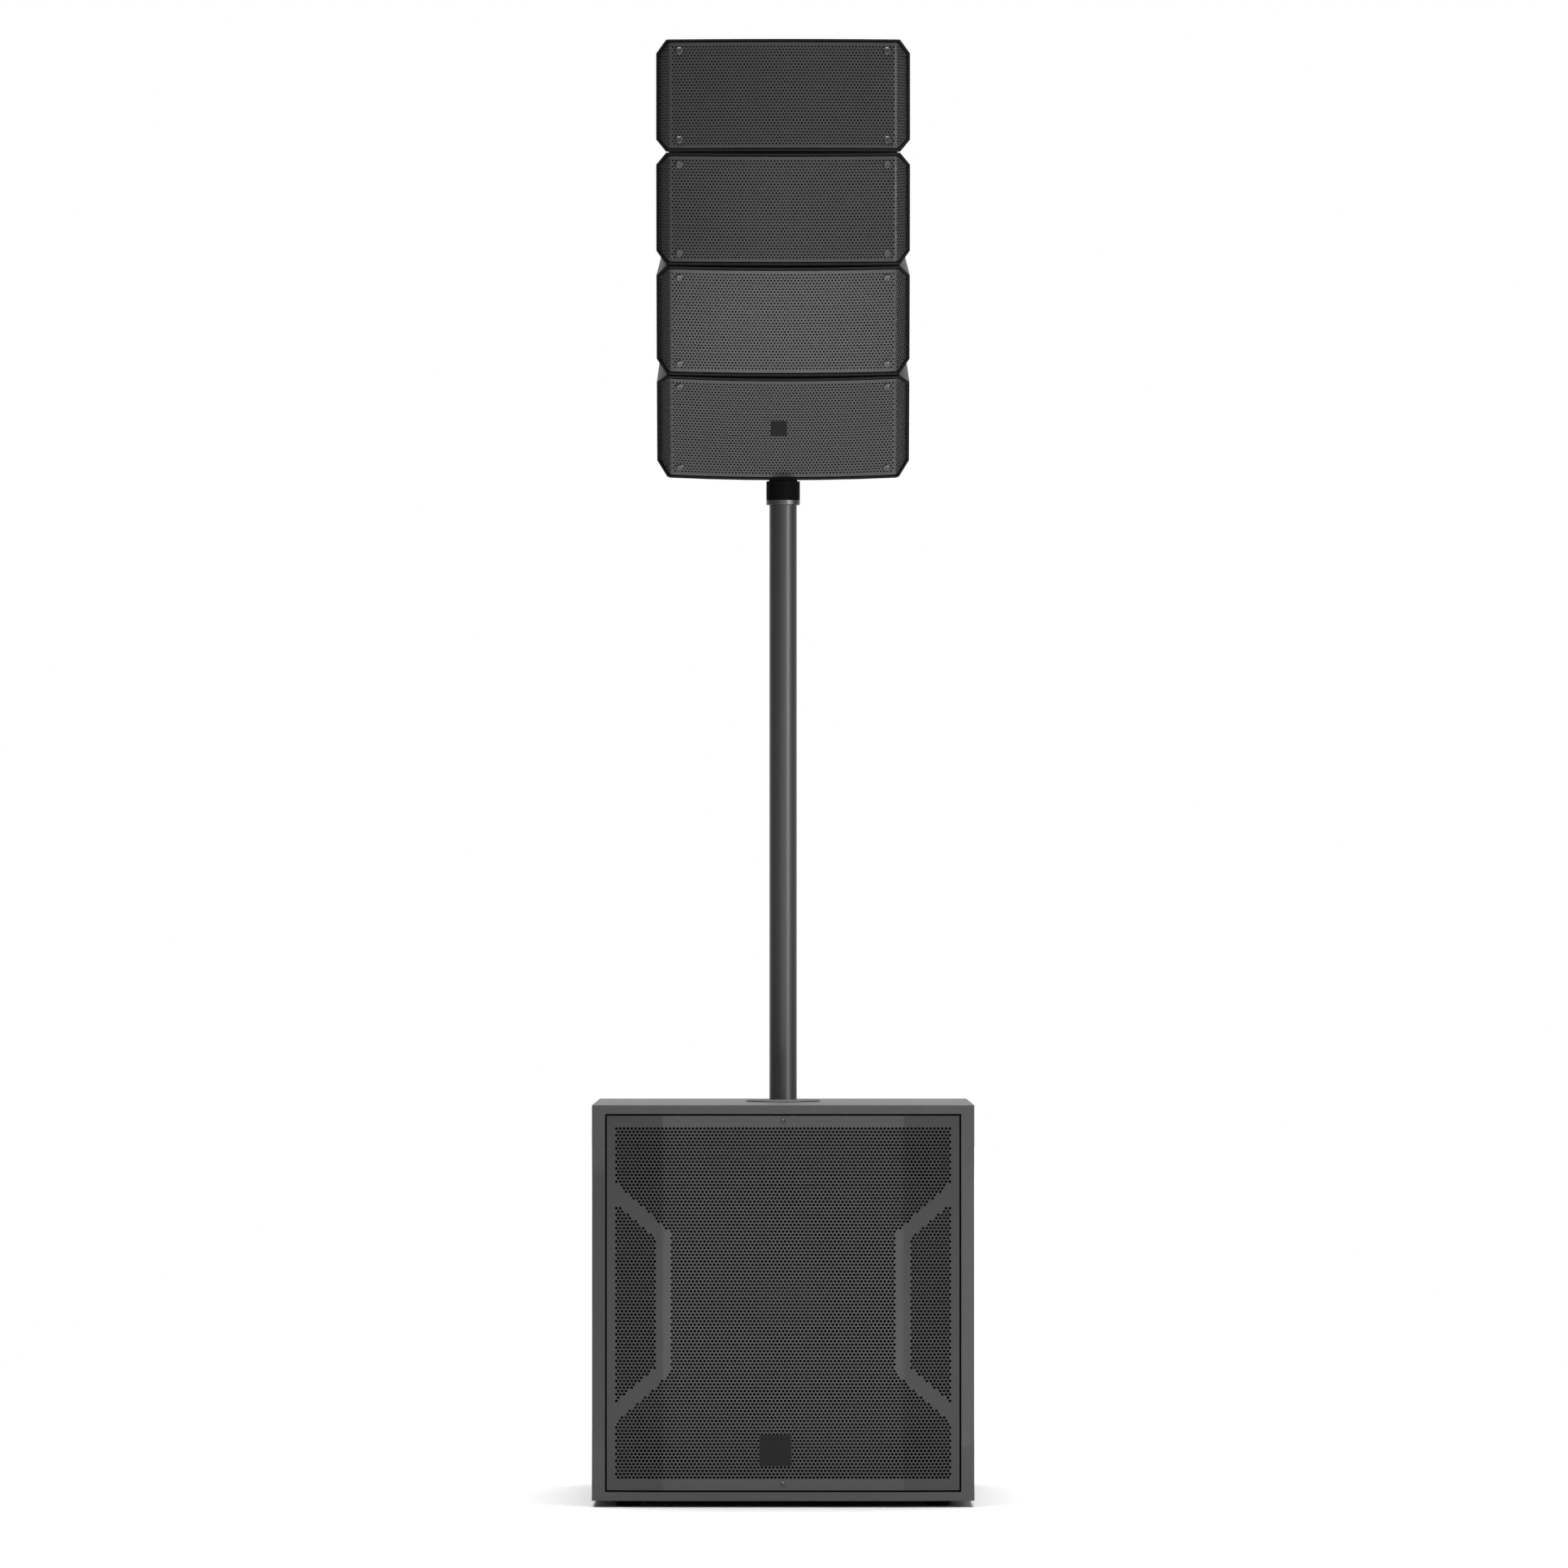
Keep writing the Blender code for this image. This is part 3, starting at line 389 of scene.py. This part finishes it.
# Subwoofer grille screws. Two small steel button heads in the plain border, above and below the middle,
# coated with the grille. Each has a sunk socket for the key.
HEAD_SIDES = 24
HEAD_FOOT = 1.2
CROWN_INSET = 0.28
CROWN_RISE = 0.9
KEY_INSET = 0.3
KEY_DEPTH = 1.4
STANDS_OFF = 0.4
UPWARDS = 0.9


def socket_screw(name, world, spot, look, radius):
    """A button head with a sunk socket, standing on the sheet."""
    bpy.ops.object.select_all(action="DESELECT")
    bpy.ops.mesh.primitive_cylinder_add(vertices=HEAD_SIDES, radius=radius * MM, depth=HEAD_FOOT * MM)
    piece = bpy.context.object
    piece.name = name
    bpy.ops.object.mode_set(mode="EDIT")
    head = bmesh.from_edit_mesh(piece.data)
    for face in head.faces:
        face.select = face.normal.z > UPWARDS
    bmesh.update_edit_mesh(piece.data)
    bpy.ops.mesh.inset(thickness=radius * CROWN_INSET * MM)
    bpy.ops.transform.translate(value=(0, 0, CROWN_RISE * MM))
    bpy.ops.mesh.inset(thickness=radius * KEY_INSET * MM)
    bpy.ops.mesh.extrude_region_move(TRANSFORM_OT_translate={"value": (0, 0, -KEY_DEPTH * MM)})
    bpy.ops.object.mode_set(mode="OBJECT")
    bpy.ops.object.shade_smooth_by_angle(angle=SMOOTH_BELOW)
    turn = Matrix.Rotation(math.radians(90), 4, "X")
    piece.data.transform(world @ Matrix.Translation(Vector(spot) * MM) @ turn)
    dress(piece, look)
    return piece


SUB_SCREW_IN = 7.5
SUB_SCREW_R = 3.2
sub_front = Matrix.Translation((0, grille_low[1], grille_mid_z))
for name, up in (("sub_screw_top", 1), ("sub_screw_bottom", -1)):
    spot = (0, -STANDS_OFF, up * (grille_half_h - SUB_SCREW_IN))
    screw = socket_screw(name, sub_front, spot, powder_coat, SUB_SCREW_R)
    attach(screw, "base")

# Amplifier panel. Black cast alloy with fins, moulded chassis sockets, a rocker switch and two level knobs.
# Black steel button heads down both edges hold it in the foot of its recess.
cast_black = finish("cast_black", (0.016, 0.016, 0.017), (0.030, 0.030, 0.032),
                    grain_mm=1.1, depth_mm=0.12, rough=0.45, rough_swing=0.14, metallic=0.3)
screw_black = finish("screw_black", (0.10, 0.10, 0.103), (0.14, 0.14, 0.144),
                     grain_mm=0.5, depth_mm=0.02, rough=0.44, rough_swing=0.08, metallic=1.0)
eased("amp_panel", 0.5, cast_black)
for node in ("mains_inlet", "speaker_out", "line_in_left", "line_in_right", "power_switch"):
    eased(node, 0.5, moulded_black)
for node in ("level_knob_sub", "level_knob_array"):
    eased(node, 0.6, moulded_black)
PANEL_FACE_Y = 276.0
PANEL_SCREW_X = 161.0
PANEL_SCREW_Z = (135.0, 215.0, 295.0, 375.0)
PANEL_SCREW_R = 3.4
to_rear = Matrix.Translation((0, PANEL_FACE_Y * MM, 0)) @ Matrix.Rotation(math.pi, 4, "Z")
for x in (-PANEL_SCREW_X, PANEL_SCREW_X):
    for z in PANEL_SCREW_Z:
        spot = (x, -STANDS_OFF, z)
        screw = socket_screw(f"panel_screw_{x:.0f}_{z:.0f}", to_rear, spot, screw_black, PANEL_SCREW_R)
        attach(screw, "base")

# Feet and pole socket. Rubber feet screwed under the four corners, and a moulded socket sunk in the top with
# a flange in the colour of the cabinet.
for along in ("front", "rear"):
    for side in SIDES:
        eased(f"foot_{along}_{side}", 0.8, rubber)
eased("pole_socket", 0.6, stage_paint)

# Pole. Drawn steel tube in satin black paint that stands in the socket, with a turned alloy collar pressed
# on below the adaptor.
satin_black = finish("satin_black", (0.026, 0.026, 0.0276), (0.032, 0.032, 0.0336),
                     grain_mm=2.0, depth_mm=0.0006, rough=0.43, rough_swing=0.01, shine=0.8)
turned_alloy = finish("turned_alloy", (0.11, 0.11, 0.114), (0.17, 0.17, 0.174),
                      grain_mm=0.4, depth_mm=0.02, rough=0.44, rough_swing=0.1, metallic=1.0)
eased("pole_tube", 0.4, satin_black)
eased("pole_collar", 0.4, turned_alloy)

# Adaptor yoke. Black coated casting: a cup over the pole end, a crossbar with forks for the lowest hinge and
# an arm to the lowest splay bar.
cup_black = finish("cup_black", (0.0018, 0.0018, 0.0018), (0.0035, 0.0035, 0.0035),
                   grain_mm=0.9, depth_mm=0.06, rough=0.7, rough_swing=0.1, shine=0.08)
eased("adaptor_yoke", 0.5, cup_black)

# Array modules. Moulded cabinets in the same charcoal paint with a black front rim, each with a bowed punched
# grille whose ends fold back as wings, held by four socket screws.
array_coat = finish("array_coat", (0.040, 0.040, 0.0425), (0.060, 0.060, 0.0635),
                    grain_mm=0.9, depth_mm=0.02, rough=0.36, rough_swing=0.08)
rim_black = finish("rim_black", (0.006, 0.006, 0.006), (0.011, 0.011, 0.011),
                   grain_mm=0.8, depth_mm=0.06, rough=0.6, rough_swing=0.1, shine=0.2)
RIM_DEPTH = 22.0
MODULE_TILTS = {1: 0.0, 2: 9.0, 3: 18.0, 4: 27.0}
HINGE_Y = 10.0
HINGE_Z = 71.25
MODULE_FOLD = 143.5
BOW = 8.0
BOW_HALF = 144.5
SHEET_INSET = 1.0
WING_START = 0.9
WING_X = 14.3
WING_Y = 18.1
WING = math.hypot(WING_X, WING_Y)
MODULE_PITCH = 4.3
MODULE_HOLE_R = 1.25
MODULE_GAUGE = 1.2
MODULE_SHEET_HALF_H = 66.8
MODULE_FIELD_HALF_H = MODULE_SHEET_HALF_H - 2.0
MODULE_EDGE_MARGIN = 3.0
MODULE_FOLD_MARGIN = 2.4
MODULE_FLANGE_BACK = 19.1
CHAMFER_X = 12.3
CHAMFER_RATIO = 14.5 / CHAMFER_X
MODULE_SCREW_X = 131.7
MODULE_SCREW_Z = 56.5
MODULE_SCREW_R = 4.6
splays = [joint for joint in frame["joints"] if joint["name"].startswith("splay_")]
splay_at = {joint["name"]: Vector(joint["pos_m"]) for joint in splays}


def module_matrix(number):
    """From a module's own frame, in metres, to where it hangs."""
    hinge = splay_at[f"splay_{number}"]
    tilt = Matrix.Rotation(math.radians(MODULE_TILTS[number]), 4, "X")
    return Matrix.Translation(hinge) @ tilt @ Matrix.Translation((0, -HINGE_Y * MM, HINGE_Z * MM))


def module_front(u):
    """Across and back along the bowed sheet and down its wing."""
    along = abs(u)
    if along <= MODULE_FOLD:
        return u, SHEET_INSET - BOW * (1 - (u / BOW_HALF) ** 2)
    share = (along - MODULE_FOLD) / WING
    return math.copysign(MODULE_FOLD + share * WING_X, u), WING_START + share * WING_Y


def module_reach(u):
    """Half the sheet's height, less where the corner chamfers cut it."""
    across = abs(module_front(u)[0])
    over = max(0.0, across - (MODULE_FOLD + WING_X - CHAMFER_X))
    return MODULE_SHEET_HALF_H - over * CHAMFER_RATIO


def module_hole_allowed(u, v):
    clear_of_edge = abs(v) < module_reach(u) - MODULE_EDGE_MARGIN
    return clear_of_edge and abs(abs(u) - MODULE_FOLD) > MODULE_FOLD_MARGIN


def module_flange(u):
    return MODULE_FLANGE_BACK - module_front(u)[1]


def module_sheet(number):
    world = module_matrix(number)

    def place(u, v, depth):
        across, back = module_front(u)
        return world @ (Vector((across, back + depth, v)) * MM)

    return punched_sheet(f"module_{number}_grille_face", array_coat, MODULE_FOLD + WING, MODULE_FIELD_HALF_H,
                         module_reach, MODULE_PITCH, MODULE_HOLE_R, MODULE_GAUGE, module_hole_allowed,
                         place, module_flange)


MODULES = (1, 2, 3, 4)
for number in MODULES:
    name = f"module_{number}"
    cabinet = eased(f"{name}_cabinet", 0.9, stage_paint)
    cabinet.data.materials.append(rim_black)
    to_module = module_matrix(number).inverted()
    for face in cabinet.data.polygons:
        if (to_module @ face.center).y < RIM_DEPTH * MM:
            face.material_index = 1
    eased(f"{name}_socket", 0.5, moulded_black)
    dress(nodes[f"{name}_baffle"], board_black)
    for side in SIDES:
        dress(nodes[f"{name}_driver_{side}"], pulp)
    sheet = module_sheet(number)
    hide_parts(f"{name}_grille")
    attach(sheet, f"array_{number}")
    for x in (-MODULE_SCREW_X, MODULE_SCREW_X):
        for z in (-MODULE_SCREW_Z, MODULE_SCREW_Z):
            spot = (x, module_front(x)[1] - STANDS_OFF, z)
            screw_name = f"{name}_screw_{x:.0f}_{z:.0f}"
            screw = socket_screw(screw_name, module_matrix(number), spot, screw_black, MODULE_SCREW_R)
            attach(screw, f"array_{number}")

# Rigging. Plated steel hinge rods through the front edges and slotted splay bars at the back, which black
# moulded hand knobs clamp.
zinc = finish("plated_steel", (0.085, 0.085, 0.088), (0.125, 0.125, 0.129),
              grain_mm=0.5, depth_mm=0.03, rough=0.4, rough_swing=0.1, metallic=1.0)
for number in MODULES:
    dress(nodes[f"hinge_rod_{number}"], zinc)
    eased(f"splay_bar_{number}", 0.4, zinc)
    eased(f"splay_knob_{number}", 0.5, moulded_black)

# Square plates. Thin dark sheet with eased edges, riveted over the holes of the subwoofer's grille and of the
# lowest module's, and plain all over.
PLATE_GAUGE = 1.0
PLATE_EASE = 0.4
SUB_PLATE_SIDE = 39.0
SUB_PLATE_AT = (-9.6, -0.4, -184.0)
MODULE_PLATE_SIDE = 20.5
MODULE_PLATE_AT = (-5.5, -7.4, 1.0)


def bare_plate(name, side_mm, world, spot, body):
    bpy.ops.object.select_all(action="DESELECT")
    bpy.ops.mesh.primitive_cube_add(size=1.0)
    piece = bpy.context.object
    piece.name = name
    piece.data.transform(Matrix.Diagonal((side_mm * MM, PLATE_GAUGE * MM, side_mm * MM, 1.0)))
    soft = piece.modifiers.new("soft edge", "BEVEL")
    soft.width = PLATE_EASE * MM
    soft.segments = ROUND_STEPS
    bpy.ops.object.modifier_apply(modifier=soft.name)
    piece.data.transform(world @ Matrix.Translation(Vector(spot) * MM))
    dress(piece, rim_black)
    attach(piece, body)


bare_plate("sub_plate", SUB_PLATE_SIDE, sub_front, SUB_PLATE_AT, "base")
bare_plate("module_plate", MODULE_PLATE_SIDE, module_matrix(4), MODULE_PLATE_AT, "array_4")

# Studio. A white floor sweep that ends a few metres in front, a broad overhead light, a soft key beside the
# camera, a tall strip light at the front right and a low card that lights the array from below. The camera
# sees plain white behind the sweep.
SWEEP_FRONT = -3.0
SWEEP_BACK = 24.0
SWEEP_WIDTH = 2.6
SWEEP_COLOUR = (0.5, 0.5, 0.5, 1.0)
SWEEP_ROUGH = 0.9
bpy.ops.object.select_all(action="DESELECT")
bpy.ops.mesh.primitive_plane_add(size=1.0, location=(0, 0, 0))
floor = bpy.context.object
floor.name = "studio_floor"
sweep = Matrix.Translation((0, (SWEEP_FRONT + SWEEP_BACK) / 2, 0))
floor.data.transform(sweep @ Matrix.Diagonal((SWEEP_WIDTH, SWEEP_BACK - SWEEP_FRONT, 1.0, 1.0)))
white = bpy.data.materials.new("studio_white")
white.use_nodes = True
white.node_tree.nodes["Principled BSDF"].inputs["Base Color"].default_value = SWEEP_COLOUR
white.node_tree.nodes["Principled BSDF"].inputs["Roughness"].default_value = SWEEP_ROUGH
dress(floor, white)
AMBIENT = 0.2
WALL_FROM = 0.4
WALL_FULL = 0.8
studio = bpy.data.worlds.new("studio")
studio.use_nodes = True
tree = studio.node_tree
backdrop = tree.nodes["Background"]
backdrop.inputs["Color"].default_value = (1.0, 1.0, 1.0, 1.0)
to_camera = Socket(tree, tree.nodes.new("ShaderNodeLightPath").outputs["Is Camera Ray"])
outlook = Socket(tree, tree.nodes.new("ShaderNodeTexCoord").outputs["Generated"])
backwards = Socket(tree, outlook.make("ShaderNodeSeparateXYZ", None, Vector=outlook).outputs["Y"])
wall = backwards.make("ShaderNodeMapRange", {"interpolation_type": "SMOOTHSTEP"}, Value=backwards,
                      From_Min=WALL_FROM, From_Max=WALL_FULL, To_Min=AMBIENT, To_Max=1.0)
wall = Socket(tree, wall.outputs["Result"])
brightness = to_camera * (1.0 - wall) + wall
tree.links.new(brightness.output, backdrop.inputs["Strength"])
bpy.context.scene.world = studio


def soft_light(name, place, aim, width, height, power):
    lamp = bpy.data.lights.new(name, "AREA")
    lamp.shape = "RECTANGLE"
    lamp.size = width
    lamp.size_y = height
    lamp.energy = power
    holder = bpy.data.objects.new(name, lamp)
    holder.location = place
    holder.rotation_euler = (Vector(aim) - Vector(place)).to_track_quat("-Z", "Y").to_euler()
    holder.visible_camera = False
    bpy.context.scene.collection.objects.link(holder)


overhead = bpy.data.lights.new("overhead", "SUN")
overhead.energy = 7.5
overhead.angle = math.radians(50)
overhead_holder = bpy.data.objects.new("overhead", overhead)
overhead_holder.rotation_euler = (math.radians(-3), 0, 0)
bpy.context.scene.collection.objects.link(overhead_holder)
soft_light("front_key", (0.0, -11.0, 0.2), (0, 0, 0.3), width=1.0, height=1.0, power=47.0)
soft_light("front_right_strip", (3.0, -3.2, 1.4), (0, 0, 1.2), width=0.55, height=1.8, power=84.0)
soft_light("floor_card", (0.0, -2.45, 0.02), (0.0, -2.45, 1.0), width=1.6, height=0.6, power=18.0)

# Camera. It stands far back, a little above the top of the subwoofer, and looks up by less than a degree,
# which frames the object as the photograph does.
FRAME_PX = 1932.0
FOCAL_PX = 13311.0
ASIDE_PX = 1.1
SENSOR_MM = 36.0
CAMERA_AT = (0.0, -13.8, 0.70)
CAMERA_PITCH = math.radians(90.863)
camera_data = bpy.data.cameras.new("camera")
camera_data.sensor_width = SENSOR_MM
camera_data.lens = SENSOR_MM * FOCAL_PX / FRAME_PX
camera_data.clip_end = 100.0
camera = bpy.data.objects.new("camera", camera_data)
camera.location = CAMERA_AT
camera.rotation_euler = (CAMERA_PITCH, 0.0, -ASIDE_PX / FOCAL_PX)
bpy.context.scene.collection.objects.link(camera)
bpy.context.scene.camera = camera
bpy.context.scene.view_settings.view_transform = "Standard"
